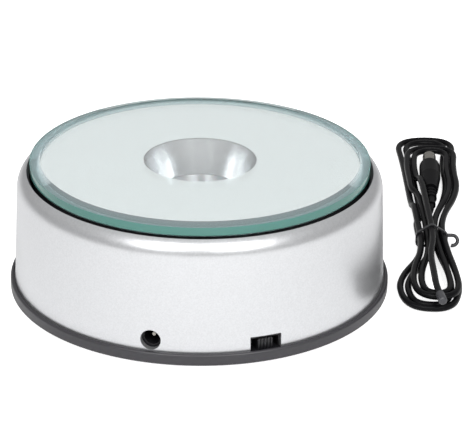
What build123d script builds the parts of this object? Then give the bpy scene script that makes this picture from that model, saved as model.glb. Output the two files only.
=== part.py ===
from build123d import *
import math
import os

os.makedirs("parts", exist_ok=True)

# Rotating display base: a bevelled mirror glass turns on a silver drum-shaped housing.
# Millimetres. The origin is the centre of the footprint on the table, +Z is up and
# -Y is the side with the power jack and the switch.

# Overall sizes
base_diameter = 140.0
overall_height = 50.0
foot_height = 0.7

# Black base plate
rim_height = 4.0
rim_round = 0.9
floor_thickness = 2.0
groove_width = 0.65
ledge_depth = 0.6
spigot_height = 5.0
spigot_thickness = 1.6
spigot_clearance = 0.2

# Silver housing
wall = 2.2
bottom_radius = 68.3
top_radius = 66.8
shoulder_radius = 7.2
mouth_radius = 63.2
mouth_drop = 4.5

# Glass top and what is bonded under it
glass_radius = 62.0
glass_thickness = 4.0
bevel_width = 3.8
bevel_depth = 0.9
glass_arris = 0.3
silvering_thickness = 0.2
silvering_margin = 0.3
window_radius = 20.6
pad_thickness = 0.8
pad_width = 6.0

# Turntable
platter_radius = 60.8
platter_thickness = 2.6
platter_skirt = 1.6
skirt_thickness = 1.6
drum_thickness = 2.0
drum_clearance = 0.5
web_thickness = 2.5
sleeve_thickness = 3.0
rib_count = 6
rib_thickness = 1.4
rib_depth = 3.0

# Reflector cup and lamp
reflector_thickness = 1.2
reflector_flange = 1.6
reflector_depth = 12.8
reflector_foot_radius = 16.3
lamp_clearance = 0.6
lamp_holder_floor = 1.6
lamp_board_thickness = 1.6
lamp_rim = 1.3
lens_edge = 1.0
lens_crown = 0.9
chip_count = 5
chip_size = 3.0
chip_height = 0.6

# Centre post and bearing
post_radius = 8.0
post_bore = 4.5
boss_radius = 10.5
bearing_clearance = 0.05
washer_thickness = 0.5
end_float = 0.3
drum_floor_gap = 0.9

# Gear train
tooth_module = 0.8
ring_teeth = 64
pinion_teeth = 16
tooth_width = 4.0
addendum = 0.85
dedendum = 1.25
backlash = 0.16
pressure_angle = math.radians(20)
motor_angle = 200.0

# Gear motor
motor_radius = 12.0
motor_height = 7.6
gearbox_radius = 13.5
gearbox_height = 7.3
output_shaft_radius = 1.5
ear_reach = 17.0
ear_thickness = 1.5
ear_radius = 3.6
motor_standoff = 0.4
pinion_hub_radius = 3.6

# Support rollers
roller_count = 3
first_roller_angle = 90.0
roller_track_radius = 51.0
roller_radius = 5.0
roller_width = 4.0
roller_pin_radius = 1.0
roller_side_gap = 0.35
roller_top_gap = 0.05
roller_post_width = 7.0
roller_post_wall = 2.2

# Battery box for three AA cells, and its door
cell_diameter = 14.5
cell_length = 50.5
cell_count = 3
cell_gap = 0.4
spring_room = 5.0
box_wall = 1.2
box_height = 15.9
box_front = 11.4
door_gap = 0.3
door_thickness = 1.6
latch_width = 12.0
latch_length = 3.0
contact_thickness = 0.5
contact_width = 8.0

# Power jack
jack_angle = -14.3
jack_height = 8.6
jack_hole_radius = 3.65
jack_bore_radius = 3.0
jack_bore_depth = 9.5
jack_width = 9.0
jack_length = 14.0
jack_top = 5.2
jack_pin_radius = 1.0
jack_pin_recess = 1.7
jack_wall_gap = 0.7
lug_thickness = 0.4
lug_width = 2.2
lug_length = 3.5

# Slide switch
switch_angle = 19.85
switch_opening = 11.4
switch_opening_top = 9.55
switch_depth = 9.0
switch_recess = 1.7
knob_width = 5.3
knob_height = 4.2
knob_centre_height = 5.95
knob_reach = 1.0
knob_root = 4.0
knob_ridges = 5
ridge_width = 0.55
ridge_height = 0.5
knob_travel = 2.4
knob_gap = 0.15

# Control board
board_width = 34.0
board_depth = 15.0
board_thickness = 1.6
board_height = 12.0
board_y = -37.0
board_screw_span = 27.0

# Leads
lead_radius = 0.9
lead_slot = 4.0
slot_inner_radius = 56.0

# Screws and feet
housing_screw_count = 4
housing_screw_angle = 45.0
housing_screw_circle = 57.5
housing_boss_radius = 3.6
housing_boss_height = 16.0
screw_radius = 1.3
screw_clearance = 0.25
screw_head_radius = 2.6
screw_head_height = 1.1
screw_length = 12.0
small_screw_length = 6.0
foot_spread = 30.0
foot_circle = 62.0
foot_radius = 4.5
foot_recess = 0.8

# Cord, tied in a hank beside the base: each lobe is left, right, turn x, turn y, left y, right y
cord_radius = 1.25
cord_pitch = 2.95
least_gap = 0.4
waist_x = 89.35
waist_y = 31.0
upper_lobes = [(84.6, 103.5, 95.5, 135.7, 100.0, 96.0), (85.3, 104.1, 96.6, 119.5, 92.0, 88.0)]
lower_lobes = [(74.1, 96.2, 83.8, -26.7, -14.0, -3.0), (79.0, 95.4, 87.2, -23.0, -14.0, -12.5)]
hank_turns = [(0, 1), (0, 0), (1, 0), (1, 1)]
change_room = 42.0
plug_strand = (88.8, 48.0)
end_bend = (86.5, 0.0)
cord_end = (86.9, -27.0)
end_lean = 0.1
sleeve_radius = 1.6
sleeve_length = 6.0

# Tie round the hank's waist
tie_thickness = 0.45
tie_clearance = 0.05
tie_width = 1.6
tail_radius = 0.7
tail_curl = 1.9

# Plug on the cord
plug_tail = (91.9, 60.5)
plug_nose = (95.2, 105.0)
plug_radius = 4.25
plug_neck_radius = 3.0
plug_neck = 15.0
plug_full = 28.0
plug_front = 41.0
plug_round = 1.8
relief_radius = 1.75
relief_ring_radius = 2.35
relief_ring_width = 1.3
relief_rings = 3
relief_ring_step = 3.0
barrel_radius = 2.75
barrel_bore = 1.05
barrel_length = 9.5

# Sizes that follow from the ones above
base_radius = base_diameter / 2
floor_bottom = foot_height
floor_top = floor_bottom + floor_thickness
rim_top = floor_bottom + rim_height
ledge = rim_top - ledge_depth
mouth_height = overall_height - mouth_drop
shoulder_centre = top_radius - shoulder_radius
shoulder_z = mouth_height - math.sqrt(shoulder_radius**2 - (mouth_radius - shoulder_centre) ** 2)
glass_bottom = overall_height - glass_thickness
silvering_bottom = glass_bottom - silvering_thickness
platter_top = silvering_bottom - pad_thickness
platter_bottom = platter_top - platter_thickness
reflector_top = silvering_bottom - 0.1
reflector_bottom = reflector_top - reflector_depth
reflector_outer = window_radius + reflector_thickness
drum_inner = reflector_outer + drum_clearance
drum_outer = drum_inner + drum_thickness
ring_pitch_radius = ring_teeth * tooth_module / 2
pinion_pitch_radius = pinion_teeth * tooth_module / 2
motor_distance = ring_pitch_radius + pinion_pitch_radius
box_inner_x = cell_length + spring_room
box_inner_y = cell_count * (cell_diameter + cell_gap)
box_top = floor_top + box_height
drum_bottom = box_top + box_wall + drum_floor_gap
boss_top = drum_bottom - washer_thickness - bearing_clearance
sleeve_bottom = drum_bottom
lamp_top = reflector_bottom - lamp_clearance + lens_edge
lamp_radius = reflector_foot_radius - lamp_clearance
lens_bottom = lamp_top - lens_edge
lamp_floor = lens_bottom - lamp_rim - lamp_board_thickness
post_top = lamp_floor - lamp_holder_floor
sleeve_top = post_top - end_float
gearbox_bottom = floor_top + motor_standoff + motor_height
gearbox_top = gearbox_bottom + gearbox_height
roller_axle_height = platter_bottom - roller_top_gap - roller_radius
motor_x = motor_distance * math.cos(math.radians(motor_angle))
motor_y = motor_distance * math.sin(math.radians(motor_angle))


def save(shape, node):
    export_step(shape, "parts/" + node + ".step")


def spin(shape, angle):
    """Turns a shape about the Z axis by an angle in degrees."""
    return Rot(0, 0, angle) * shape


def column(radius, bottom, top):
    """A round bar on the Z axis between two heights."""
    bar = Cylinder(radius, top - bottom, align=(Align.CENTER, Align.CENTER, Align.MIN))
    return Pos(0, 0, bottom) * bar


def sleeve(outer, inner, bottom, top):
    """A round tube on the Z axis between two heights."""
    return column(outer, bottom, top) - column(inner, bottom - 1, top + 1)


def block(width, depth, bottom, top):
    """A box centred on the Z axis between two heights."""
    body = Box(width, depth, top - bottom, align=(Align.CENTER, Align.CENTER, Align.MIN))
    return Pos(0, 0, bottom) * body


def turned(*edges):
    """Revolves a closed outline, drawn as (radius, height), about the Z axis."""
    return revolve(make_face(Plane.XZ * Wire(list(edges))), Axis.Z)


def outline(*points):
    return Polyline(*points, close=True).edges()


def lead(*points):
    """A round lead through straight runs that are joined by arcs as large as the runs allow."""
    places = [Vector(*point) for point in points]
    radii = []
    for before, corner, after in zip(places, places[1:], places[2:]):
        turn = math.radians((corner - before).get_angle(after - corner))
        shorter = min((corner - before).length, (after - corner).length)
        radii.append(0.45 * shorter / math.tan(turn / 2))
    path = FilletPolyline(*places, radius=radii)
    return sweep(Plane(path @ 0, z_dir=path % 0) * Circle(lead_radius), path=path)


def around(shape, count, first=0.0):
    """Copies of a shape, evenly spaced about the Z axis."""
    return [spin(shape, first + 360 * n / count) for n in range(count)]


def facing(angle):
    """The frame of a fitting in the wall: X along the wall, Y inwards, Z up."""
    return Rot(0, 0, angle)


def housing_radius(height):
    """Outer radius of the tapered wall at a height below the shoulder."""
    share = (height - ledge) / (shoulder_z - ledge)
    return bottom_radius + (top_radius - bottom_radius) * share


def screw(length):
    """A pan-head screw that points up, with its head's underside at z = 0."""
    head = column(screw_head_radius, -screw_head_height, 0)
    head = fillet(head.edges().group_by(Axis.Z)[0], screw_head_height * 0.45)
    slot = Pos(0, 0, -screw_head_height) * Box(screw_head_radius * 1.3, 0.5, 0.9)
    cross = Pos(0, 0, -screw_head_height) * Box(0.5, screw_head_radius * 1.3, 0.9)
    return head + column(screw_radius, 0, length) - slot - cross


def involute(angle):
    return math.tan(angle) - angle


def gear_face(teeth, first_tooth):
    """Outline of a spur gear with involute flanks. One tooth points at first_tooth degrees."""
    pitch_radius = teeth * tooth_module / 2
    flank_base = pitch_radius * math.cos(pressure_angle)
    tip = pitch_radius + addendum * tooth_module
    root = pitch_radius - dedendum * tooth_module
    half_tooth = (math.pi * tooth_module / 2 - backlash) / (2 * pitch_radius)
    radii = [max(root, flank_base) + n / 3 * (tip - max(root, flank_base)) for n in range(4)]
    flank = [(root, half_tooth + involute(pressure_angle))]
    for radius in radii:
        lean = involute(math.acos(min(1, flank_base / radius)))
        flank.append((radius, half_tooth + involute(pressure_angle) - lean))
    if root >= flank_base:
        flank = flank[1:]
    points = []
    for n in range(teeth):
        middle = math.radians(first_tooth) + 2 * math.pi * n / teeth
        for radius, half in flank:
            points.append((radius * math.cos(middle - half), radius * math.sin(middle - half)))
        for radius, half in reversed(flank):
            points.append((radius * math.cos(middle + half), radius * math.sin(middle + half)))
    return make_face(Polyline(*points, close=True))


def housing_screw_places():
    return around(Pos(housing_screw_circle, 0, 0), housing_screw_count, housing_screw_angle)


def motor_ear_places():
    """The two screw places of the gear motor, in the plan of the base."""
    across = math.radians(motor_angle + 90)
    return [
        Pos(motor_x + side * ear_reach * math.cos(across), motor_y + side * ear_reach * math.sin(across), 0)
        for side in (-1, 1)
    ]


def board_screw_places():
    return [Pos(side * board_screw_span / 2, board_y, 0) for side in (-1, 1)]


def box_place():
    """Centre of the battery box in the plan of the base."""
    return Pos(0, box_front + box_wall + box_inner_y / 2, 0)


def base_plate():
    groove_outer = bottom_radius + groove_width
    rim = turned(
        Line((0, floor_bottom), (base_radius, floor_bottom)),
        Line((base_radius, floor_bottom), (base_radius, rim_top - rim_round)),
        RadiusArc((base_radius, rim_top - rim_round), (base_radius - rim_round, rim_top), -rim_round),
        Line((base_radius - rim_round, rim_top), (groove_outer, rim_top)),
        Line((groove_outer, rim_top), (groove_outer, ledge)),
        Line((groove_outer, ledge), (bottom_radius - wall - spigot_clearance, ledge)),
        Line((bottom_radius - wall - spigot_clearance, ledge), (bottom_radius - wall - spigot_clearance, floor_top)),
        Line((bottom_radius - wall - spigot_clearance, floor_top), (0, floor_top)),
        Line((0, floor_top), (0, floor_bottom)),
    )
    spigot_outer = housing_radius(floor_top + spigot_height) - wall - spigot_clearance
    plate = rim + sleeve(spigot_outer, spigot_outer - spigot_thickness, floor_top, floor_top + spigot_height)
    plate += column(boss_radius, floor_top, boss_top) + column(post_radius, floor_top, post_top)
    plate -= column(post_bore, floor_top, post_top + 1)
    for place in housing_screw_places():
        plate -= place * column(screw_radius + screw_clearance, floor_bottom, floor_top)
        plate -= place * column(screw_head_radius + screw_clearance, 0, floor_bottom + screw_head_height)
    for place in motor_ear_places():
        plate += place * column(ear_radius, floor_top, gearbox_bottom)
        plate -= place * column(screw_radius, gearbox_bottom - small_screw_length, gearbox_bottom)
    for place in board_screw_places():
        plate += place * column(ear_radius * 0.8, floor_top, board_height)
        plate -= place * column(screw_radius, board_height - small_screw_length, board_height)
    for foot in foot_places():
        plate -= foot * column(foot_radius, 0, floor_bottom + foot_recess)
    for number in range(1, roller_count):
        plate += roller_post(first_roller_angle + 360 * number / roller_count, floor_top)
    opening = block(box_inner_x - 2 * door_gap, box_inner_y, 0, floor_top + 1)
    latch = Pos(0, box_inner_y / 2, 0) * block(latch_width, 2 * latch_length, 0, floor_top + 1)
    plate -= box_place() * (opening + latch)
    spigot_top = floor_top + spigot_height + 1
    plate -= box_place() * block(
        box_inner_x + 2 * box_wall + 2 * spigot_clearance,
        box_inner_y + 2 * box_wall + 2 * spigot_clearance,
        floor_top,
        spigot_top,
    )
    plate -= facing(jack_angle) * inner_slot(jack_width + 2 * spigot_clearance, spigot_outer, spigot_top)
    plate -= facing(switch_angle) * inner_slot(switch_opening, bottom_radius, spigot_top)
    plate -= Pos(0, -boss_radius / 2, 0) * block(lead_slot, boss_radius + 2, floor_top, floor_top + lead_slot)
    return plate


def inner_slot(width, outer, top):
    """Room for a fitting behind the wall, inwards from a radius and up from the floor."""
    depth = outer - slot_inner_radius
    return Pos(0, -outer + depth / 2, 0) * block(width, depth, floor_top, top)


def foot_places():
    """Two feet on each side, clear of the battery door."""
    angles = (foot_spread, 180 - foot_spread, 180 + foot_spread, -foot_spread)
    return [spin(Pos(foot_circle, 0, 0), angle) for angle in angles]


def rubber_feet():
    pad = column(foot_radius - 0.1, 0, floor_bottom + foot_recess)
    pad = fillet(pad.edges().group_by(Axis.Z)[0], foot_height * 0.4)
    return Compound(children=[place * pad for place in foot_places()])


def roller_post(angle, bottom):
    """A forked post that holds one roller on a pin, whose axis points at the centre."""
    gap = roller_width + 2 * roller_side_gap
    length = gap + 2 * roller_post_wall
    top = roller_axle_height + 2 * roller_pin_radius
    fork = Box(length, roller_post_width, top - bottom, align=(Align.CENTER, Align.CENTER, Align.MIN))
    slot_bottom = roller_axle_height - roller_radius - 1.0
    slot = block(gap, roller_post_width + 1, slot_bottom, top + 1)
    post = Pos(0, 0, bottom) * fork - slot
    hole = Pos(0, 0, roller_axle_height) * Rot(0, 90, 0) * Cylinder(roller_pin_radius, length + 2)
    return spin(Pos(roller_track_radius, 0, 0) * (post - hole), angle)


def roller(angle):
    tyre = Cylinder(roller_radius, roller_width)
    tyre = fillet(tyre.edges(), 0.6)
    tyre -= Cylinder(roller_pin_radius + bearing_clearance, roller_width + 1)
    return spin(Pos(roller_track_radius, 0, roller_axle_height) * Rot(0, 90, 0) * tyre, angle)


def roller_pins():
    length = roller_width + 2 * roller_side_gap + 2 * roller_post_wall
    pin = Pos(roller_track_radius, 0, roller_axle_height) * Rot(0, 90, 0) * Cylinder(roller_pin_radius, length)
    return Compound(children=around(pin, roller_count, first_roller_angle))


def housing():
    """The silver shell: a tapered wall that rolls in over a round shoulder to its mouth."""
    lean = (mouth_radius - shoulder_centre) / shoulder_radius
    rise = math.sqrt(1 - lean**2)
    inner_r = shoulder_radius - wall
    lip = (shoulder_centre + inner_r * lean, shoulder_z + inner_r * rise)
    shell = turned(
        Line((bottom_radius, ledge), (top_radius, shoulder_z)),
        RadiusArc((top_radius, shoulder_z), (mouth_radius, mouth_height), -shoulder_radius),
        Line((mouth_radius, mouth_height), lip),
        RadiusArc(lip, (top_radius - wall, shoulder_z), inner_r),
        Line((top_radius - wall, shoulder_z), (bottom_radius - wall, ledge)),
        Line((bottom_radius - wall, ledge), (bottom_radius, ledge)),
    )
    inside = turned(
        Line((0, ledge), (bottom_radius - wall / 2, ledge)),
        Line((bottom_radius - wall / 2, ledge), (top_radius - wall / 2, shoulder_z)),
        Line((top_radius - wall / 2, shoulder_z), (0, shoulder_z)),
        Line((0, shoulder_z), (0, ledge)),
    )
    boss_bottom = floor_top + 0.3
    reach = bottom_radius - housing_screw_circle
    for place in housing_screw_places():
        boss = column(housing_boss_radius, boss_bottom, boss_bottom + housing_boss_height)
        gusset = Pos(reach / 2, 0, 0) * block(reach, rib_thickness, ledge + spigot_height, boss_bottom + housing_boss_height)
        shell += place * (boss + gusset) & inside
        shell -= place * column(screw_radius, boss_bottom - 1, boss_bottom + screw_length)
    hole = Pos(0, -bottom_radius, jack_height) * Rot(90, 0, 0) * Cylinder(jack_hole_radius, 12)
    shell -= facing(jack_angle) * hole
    notch = Pos(0, -bottom_radius, 0) * block(switch_opening, 12, 0, switch_opening_top)
    return shell - facing(switch_angle) * notch


def glass():
    """A clear disc with a ground bevel round its top edge."""
    return turned(*outline(
        (0, glass_bottom),
        (glass_radius - glass_arris, glass_bottom),
        (glass_radius, glass_bottom + glass_arris),
        (glass_radius, overall_height - bevel_depth),
        (glass_radius - bevel_width, overall_height),
        (0, overall_height),
    ))


def silvering():
    return sleeve(glass_radius - silvering_margin, window_radius, silvering_bottom, glass_bottom)


def bonding_pads():
    """Two foam rings that bond the glass to the turntable."""
    outer = sleeve(platter_radius - 2, platter_radius - 2 - pad_width, platter_top, silvering_bottom)
    inner_edge = drum_outer + reflector_flange + 1
    inner = sleeve(inner_edge + pad_width, inner_edge, platter_top, silvering_bottom)
    return Compound(children=[outer, inner])


def platter():
    """The turntable: a ribbed disc with a drum that turns on the centre post."""
    skirt_bottom = platter_bottom - platter_skirt
    disc = sleeve(platter_radius, drum_inner, platter_bottom, platter_top)
    disc += sleeve(platter_radius, platter_radius - skirt_thickness, skirt_bottom, platter_bottom)
    disc += sleeve(drum_outer, drum_inner, drum_bottom, platter_bottom)
    disc += sleeve(drum_outer, post_radius + bearing_clearance, drum_bottom, drum_bottom + web_thickness)
    hub = post_radius + bearing_clearance + sleeve_thickness
    disc += sleeve(hub, post_radius + bearing_clearance, sleeve_bottom, sleeve_top)
    rib_end = roller_track_radius - roller_width / 2 - roller_post_wall - 2
    rib_length = rib_end - drum_outer + drum_thickness / 2
    rib = Pos(rib_end - rib_length / 2, 0, 0) * block(rib_length, rib_thickness, platter_bottom - rib_depth, platter_bottom)
    for one in around(rib, rib_count, 15):
        disc += one
    teeth = extrude(gear_face(ring_teeth, motor_angle), tooth_width)
    ring = Pos(0, 0, drum_bottom) * teeth - column(drum_inner, drum_bottom - 1, drum_bottom + tooth_width + 1)
    return disc + ring


def reflector():
    """The polished cup under the window, with a flange that sits in the turntable's mouth."""
    taper = (window_radius - reflector_foot_radius) / reflector_depth
    flange_bottom = reflector_top - 0.7
    return turned(*outline(
        (window_radius, reflector_top),
        (drum_outer + reflector_flange, reflector_top),
        (drum_outer + reflector_flange, flange_bottom),
        (reflector_outer - 0.7 * taper, flange_bottom),
        (reflector_foot_radius + reflector_thickness, reflector_bottom),
        (reflector_foot_radius, reflector_bottom),
    ))


def lamp_holder():
    """A round tray on the centre post that carries the lamp board and the lens."""
    tray = column(lamp_radius, post_top, lens_bottom)
    tray -= column(lamp_radius - lamp_rim, lamp_floor, lens_bottom + 1)
    tray -= column(post_bore - 1.5, post_top - 1, lamp_floor + 1)
    return tray


def lamp_board():
    return sleeve(lamp_radius - lamp_rim - 0.2, 1.5, lamp_floor, lamp_floor + lamp_board_thickness)


def lamp_chips():
    bottom = lamp_floor + lamp_board_thickness
    chip = Pos(lamp_radius * 0.5, 0, 0) * block(chip_size, chip_size, bottom, bottom + chip_height)
    return Compound(children=around(chip, chip_count, 90))


def lamp_lens():
    """A frosted lens with a low crown."""
    crown_radius = (lamp_radius**2 + lens_crown**2) / (2 * lens_crown)
    return turned(
        Line((0, lens_bottom), (lamp_radius, lens_bottom)),
        Line((lamp_radius, lens_bottom), (lamp_radius, lamp_top)),
        RadiusArc((lamp_radius, lamp_top), (0, lamp_top + lens_crown), -crown_radius),
        Line((0, lamp_top + lens_crown), (0, lens_bottom)),
    )


def thrust_washer():
    return sleeve(boss_radius, post_radius + bearing_clearance, boss_top, boss_top + washer_thickness)


def gear_motor():
    """Motor can and gearbox as one bought unit, with two screw ears."""
    gearbox = column(gearbox_radius, gearbox_bottom, gearbox_top)
    gearbox = fillet(gearbox.edges().group_by(Axis.Z)[-1], 0.8)
    gearbox = Pos(motor_x, motor_y, 0) * gearbox
    for place in motor_ear_places():
        bridge = Pos(ear_reach / 2, 0, 0) * block(ear_reach, 2 * ear_radius, gearbox_bottom, gearbox_bottom + ear_thickness)
        side = math.degrees(math.atan2(place.position.Y - motor_y, place.position.X - motor_x))
        gearbox += Pos(motor_x, motor_y, 0) * Rot(0, 0, side) * bridge
        gearbox += place * column(ear_radius, gearbox_bottom, gearbox_bottom + ear_thickness)
        gearbox -= place * column(screw_radius + screw_clearance, gearbox_bottom - 1, gearbox_bottom + 3)
    return gearbox - Pos(motor_x, motor_y, 0) * column(output_shaft_radius + bearing_clearance, gearbox_top - 5, gearbox_top + 1)


def motor_can():
    can = column(motor_radius, floor_top + motor_standoff, gearbox_bottom)
    can = fillet(can.edges().group_by(Axis.Z)[0], 1.2)
    return Pos(motor_x, motor_y, 0) * can


def pinion():
    """The drive pinion and the output shaft that it is moulded on."""
    gap = 180 / pinion_teeth
    bottom = gearbox_top + end_float
    top = drum_bottom + tooth_width + 0.5
    teeth = extrude(gear_face(pinion_teeth, motor_angle + 180 + gap), top - bottom)
    body = Pos(0, 0, bottom) * teeth + column(output_shaft_radius, gearbox_top - 4.8, bottom)
    return Pos(motor_x, motor_y, 0) * body


def battery_box():
    """A tray with its mouth down, fixed round the opening in the base plate."""
    outer = block(box_inner_x + 2 * box_wall, box_inner_y + 2 * box_wall, floor_top, box_top + box_wall)
    outer = fillet(outer.edges().filter_by(Axis.Z), 1.5)
    tray = outer - block(box_inner_x, box_inner_y, floor_top - 1, box_top)
    for n in range(1, cell_count):
        row = -box_inner_y / 2 + n * box_inner_y / cell_count
        tray += Pos(0, row, 0) * block(box_inner_x, 1.0, box_top - 3.0, box_top + box_wall / 2)
    return box_place() * tray + roller_post(first_roller_angle, box_top + box_wall)


def battery_door():
    bottom = floor_bottom
    door = block(box_inner_x - 4 * door_gap, box_inner_y - 2 * door_gap, bottom, bottom + door_thickness)
    tab = Pos(0, box_inner_y / 2 + latch_length / 2 - door_gap, 0) * block(
        latch_width - 2 * door_gap, latch_length, bottom, bottom + door_thickness
    )
    door += tab
    for n in range(3):
        grip = Pos(0, box_inner_y / 2 - 3 - 2.2 * n, bottom) * Box(latch_width, 0.9, 0.8)
        door -= grip
    return box_place() * door


def battery_contacts():
    """Plated strips at both ends of each cell."""
    strips = []
    for side in (-1, 1):
        for n in range(cell_count):
            row = -box_inner_y / 2 + (n + 0.5) * box_inner_y / cell_count
            x = side * (box_inner_x / 2 - contact_thickness / 2)
            strip = block(contact_thickness, contact_width, floor_top + 2, box_top - 3.2)
            dome = Pos(-side * contact_thickness, 0, (floor_top + box_top) / 2) * Rot(0, 90, 0) * Cylinder(2.0, 1.0)
            strips.append(box_place() * Pos(x, row, 0) * (strip + dome))
    return Compound(children=strips)


def jack_face():
    """Distance of the jack's face from the centre."""
    return housing_radius(jack_height) - wall - jack_wall_gap


def jack_body():
    face = jack_face()
    body = block(jack_width, jack_length, floor_top, jack_height + jack_top)
    body = fillet(body.edges().filter_by(Axis.Y).group_by(Axis.Z)[-1], 1.5)
    body = Pos(0, -face + jack_length / 2, 0) * body
    bore = Pos(0, -face + jack_bore_depth / 2, jack_height) * Rot(90, 0, 0)
    body -= bore * Cylinder(jack_bore_radius, jack_bore_depth)
    return facing(jack_angle) * body


def jack_pin():
    length = jack_bore_depth - jack_pin_recess
    centre = -jack_face() + jack_pin_recess + length / 2
    pin = Cylinder(jack_pin_radius, length)
    pin = fillet(pin.edges().group_by(Axis.Z)[-1], jack_pin_radius * 0.6)
    return facing(jack_angle) * Pos(0, centre, jack_height) * Rot(90, 0, 0) * pin


def jack_lugs():
    """Solder lugs at the back of the jack."""
    back = -jack_face() + jack_length + lug_length / 2
    lugs = [
        facing(jack_angle) * Pos(x, back, jack_height + z) * Box(lug_width, lug_length, lug_thickness)
        for x, z in ((-2.6, 0), (2.6, 0), (0, 3.0))
    ]
    return Compound(children=lugs)


def switch_face():
    """Distance of the switch's black face from the centre, at its middle."""
    return housing_radius(switch_opening_top) - switch_recess


def switch_body():
    """The black box behind the notch, with a window for the knob."""
    bottom, top = floor_top, switch_opening_top - 0.1
    width = switch_opening - 0.2
    body = Pos(0, -switch_face() + switch_depth / 2, 0) * block(width, switch_depth, bottom, top)
    window = knob_width + 2 * knob_travel + 2 * knob_gap
    low = knob_centre_height - knob_height / 2 - knob_gap
    high = knob_centre_height + knob_height / 2 + knob_gap
    room = Pos(0, -switch_face() + (knob_root + knob_gap) / 2, 0) * block(window, knob_root + knob_gap, low, high)
    return facing(switch_angle) * (body - room)


def switch_knob():
    """The sliding knob with its upright ridges."""
    low = knob_centre_height - knob_height / 2
    high = knob_centre_height + knob_height / 2
    front = -switch_face() - knob_reach + ridge_height
    back = -switch_face() + knob_root
    knob = Pos(0, (front + back) / 2, 0) * block(knob_width, back - front, low, high)
    pitch = (knob_width - ridge_width) / (knob_ridges - 1)
    for n in range(knob_ridges):
        x = -knob_width / 2 + ridge_width / 2 + n * pitch
        knob += Pos(x, front - ridge_height / 2, 0) * block(ridge_width, ridge_height, low, high)
    return facing(switch_angle) * knob


def control_board():
    board = Pos(0, board_y, 0) * block(board_width, board_depth, board_height, board_height + board_thickness)
    for place in board_screw_places():
        board -= place * column(screw_radius + screw_clearance, board_height - 1, board_height + 3)
    return board


def board_parts():
    """What is soldered on the control board: a chip, a capacitor and a plug socket."""
    top = board_height + board_thickness
    chip = Pos(-4, board_y, 0) * block(6, 4, top, top + 1.6)
    can = Pos(5, board_y + 2, 0) * column(2.5, top, top + 7)
    socket = Pos(3, board_y - 4.5, 0) * block(9, 4.5, top, top + 6)
    return Compound(children=[chip, can, socket])


def lead_height():
    return board_height + board_thickness / 2


def lamp_lead():
    """From the back edge of the control board, through the hollow post to the lamp board."""
    edge = board_y + board_depth / 2
    low = floor_top + lead_slot / 2
    return lead(
        (0, edge, lead_height()),
        (0, edge + 5, lead_height()),
        (0, edge + 12, low),
        (0, 0, low),
        (0, 0, lamp_floor + lamp_board_thickness),
    )


def motor_lead():
    """From the left edge of the control board to the side of the motor can."""
    side = -board_width / 2
    level = floor_top + motor_standoff + motor_height / 2
    angle = math.radians(-110)
    end_x = motor_x + motor_radius * math.cos(angle)
    end_y = motor_y + motor_radius * math.sin(angle)
    return lead(
        (side, board_y - 4, lead_height()),
        (side - 9, board_y - 4, lead_height()),
        (end_x - 2, board_y + 1, level),
        (end_x, end_y - lead_radius / 3, level),
    )


def battery_lead():
    """From the front of the battery box to the back edge of the control board."""
    level = box_top - cell_diameter / 3
    return lead(
        (20, box_front, level),
        (20, box_front - 12, level),
        (12, board_y + board_depth / 2 + 10, lead_height()),
        (12, board_y + board_depth / 2, lead_height()),
    )


def switch_lead():
    """From the back of the switch to the front edge of the control board."""
    back = -switch_face() + switch_depth
    start = facing(switch_angle) * Pos(0, back, 0)
    level = (floor_top + switch_opening_top) / 2
    edge = board_y - board_depth / 2
    return lead(
        (start.position.X, start.position.Y, level),
        (start.position.X - 1.5, start.position.Y + 4, level),
        (12, edge - 4, lead_height()),
        (12, edge, lead_height()),
    )


def housing_screws():
    one = Pos(0, 0, floor_bottom + screw_head_height) * screw(screw_length - 2)
    return Compound(children=[place * one for place in housing_screw_places()])


def inner_screws():
    """Screws that hold the gear motor and the control board, driven from above."""
    down = Rot(180, 0, 0) * screw(small_screw_length)
    motor = [place * Pos(0, 0, gearbox_bottom + ear_thickness) * down for place in motor_ear_places()]
    board = [place * Pos(0, 0, board_height + board_thickness) * down for place in board_screw_places()]
    return Compound(children=motor + board)


def layer_height(layer):
    """Height of the cord's middle in a layer of the hank, which rests on its tie."""
    return tie_thickness + tie_clearance + cord_radius + layer * cord_pitch


def join(nodes, end, leaving):
    """Adds two arcs that lead from the last node to a new one, each node a point and a heading."""
    start, heading = nodes[-1]
    gap = end - start
    spread = 1 - heading.dot(leaving)
    if spread < 1e-9:
        reach = gap.dot(gap) / (4 * gap.dot(heading))
    else:
        slope = gap.dot(heading + leaving)
        reach = (math.sqrt(slope**2 + 2 * spread * gap.dot(gap)) - slope) / (2 * spread)
    middle = (start + heading * reach + end - leaving * reach) * 0.5
    step = middle - start
    turned_to = step * (2 * step.dot(heading) / step.dot(step)) - heading
    nodes.append((middle, turned_to.normalized()))
    nodes.append((end, leaving))


def hank_turn(layer, inset):
    """One turn of the hank from its waist round both lobes. An inner turn keeps one pitch inside."""
    away, back = Vector(0, 1, 0), Vector(0, -1, 0)
    over, under = Vector(-1, 0, 0), Vector(1, 0, 0)
    z = layer_height(layer)
    lane = 1.5 * cord_pitch
    left, right, turn_x, turn_y, left_y, right_y = lower_lobes[layer]
    nodes = [(Vector(waist_x - lane, waist_y, z), back)]
    join(nodes, Vector(left, left_y, z), back)
    join(nodes, Vector(turn_x, turn_y, z), under)
    join(nodes, Vector(right, right_y, z), away)
    join(nodes, Vector(waist_x + lane, waist_y, z), away)
    left, right, turn_x, turn_y, left_y, right_y = upper_lobes[layer]
    join(nodes, Vector(right, right_y, z), away)
    join(nodes, Vector(turn_x, turn_y, z), over)
    join(nodes, Vector(left, left_y, z), back)
    inwards = inset * cord_pitch
    return [(point + Vector(-way.Y, way.X, 0) * inwards, way) for point, way in nodes]


def plug_axis():
    tail, nose = Vector(*plug_tail, plug_radius), Vector(*plug_nose, plug_radius)
    return Plane(tail, z_dir=nose - tail)


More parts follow.
